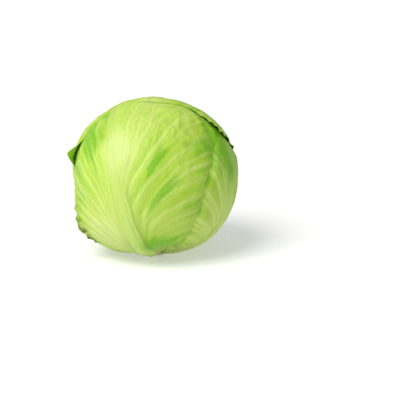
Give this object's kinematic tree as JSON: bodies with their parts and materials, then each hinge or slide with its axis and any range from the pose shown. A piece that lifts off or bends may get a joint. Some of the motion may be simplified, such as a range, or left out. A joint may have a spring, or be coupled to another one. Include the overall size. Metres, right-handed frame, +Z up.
{
  "type": "head of iceberg lettuce",
  "caption": "Round, closed head of iceberg lettuce standing on its cut stem, with overlapping ribbed leaves wrapped about a tight yellow heart.",
  "frame": {"origin": "middle of the stem's cut face, which the head stands on", "axes": "+Z up along the stem, -Y towards the broad front leaf, +X to the right as that leaf is looked at"},
  "size_m": [0.1609, 0.1526, 0.1499],
  "materials": {
    "outer_leaf": "crisp, slightly waxy green leaf with pale ribs and veins",
    "inner_leaf": "crisp pale yellow-green leaf",
    "heart": "crisp pale yellow leaf",
    "stem": "moist cream pith, tanned at the cut"
  },
  "bodies": {
    "root": {"stem": "stem", "leaf_over_top": "outer_leaf", "leaf_left": "outer_leaf", "leaf_front": "outer_leaf", "leaf_right": "outer_leaf", "leaf_back": "outer_leaf", "leaf_left_low": "outer_leaf", "leaf_inner_1": "inner_leaf", "leaf_inner_2": "inner_leaf", "leaf_inner_3": "inner_leaf", "leaf_inner_4": "inner_leaf", "leaf_inner_5": "inner_leaf", "leaf_inner_6": "inner_leaf", "leaf_inner_7": "inner_leaf", "leaf_inner_8": "inner_leaf", "heart": "heart"}
  },
  "joints": []
}
